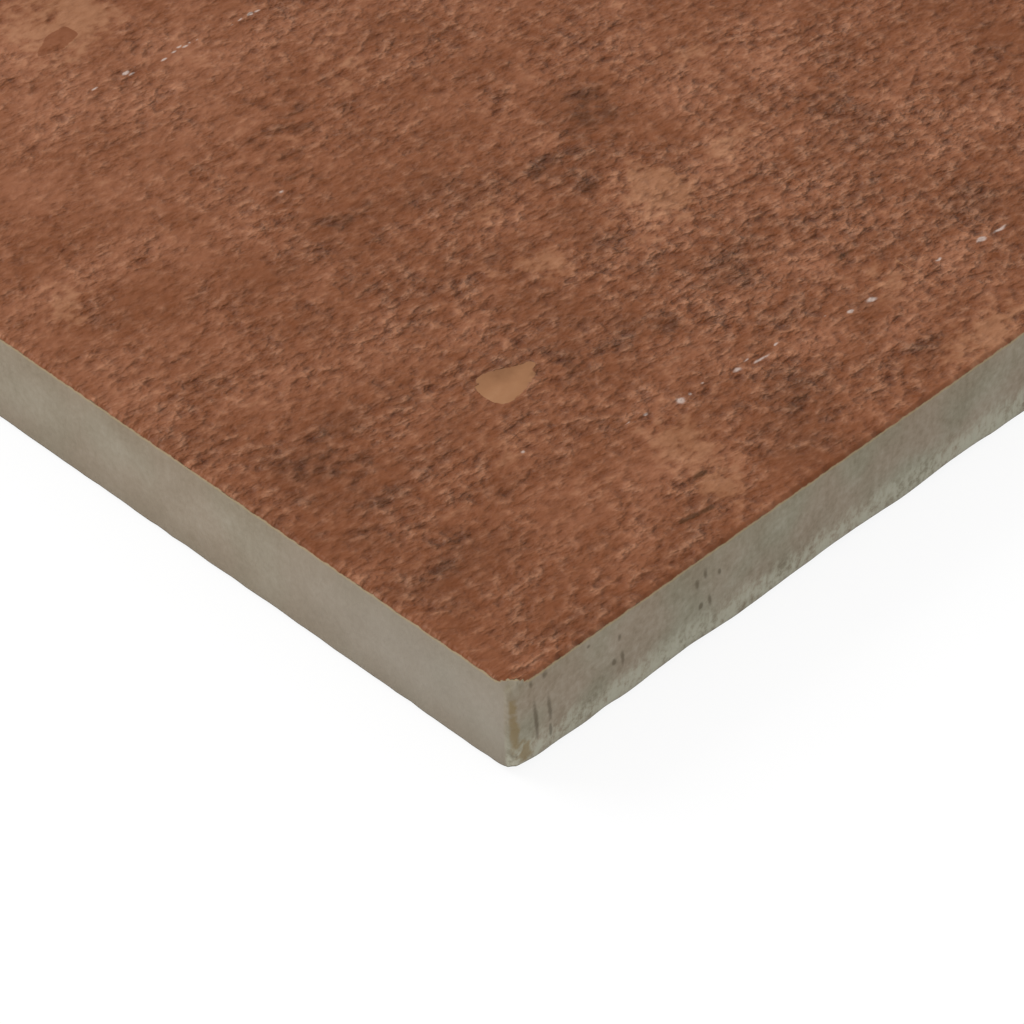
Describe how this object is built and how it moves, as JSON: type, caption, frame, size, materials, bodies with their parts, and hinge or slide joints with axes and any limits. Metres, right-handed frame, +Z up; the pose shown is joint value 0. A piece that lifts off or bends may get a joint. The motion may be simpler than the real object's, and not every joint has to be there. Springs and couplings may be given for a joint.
{
  "type": "porcelain floor tile",
  "caption": "Square porcelain floor tile with a matt terracotta-look glazed face, rounded pressed edges and a keyed waffle back, laid flat in adhesive.",
  "frame": {"origin": "on the plane of the ribs on the back, under the middle of the square face", "axes": "+Z up through the thickness, out of the glazed face; +X and +Y along the sides of the face"},
  "size_m": [0.2, 0.2, 0.009],
  "materials": {
    "glazed_porcelain": "matte"
  },
  "bodies": {
    "root": {"floor_tile": "glazed_porcelain"}
  },
  "joints": []
}
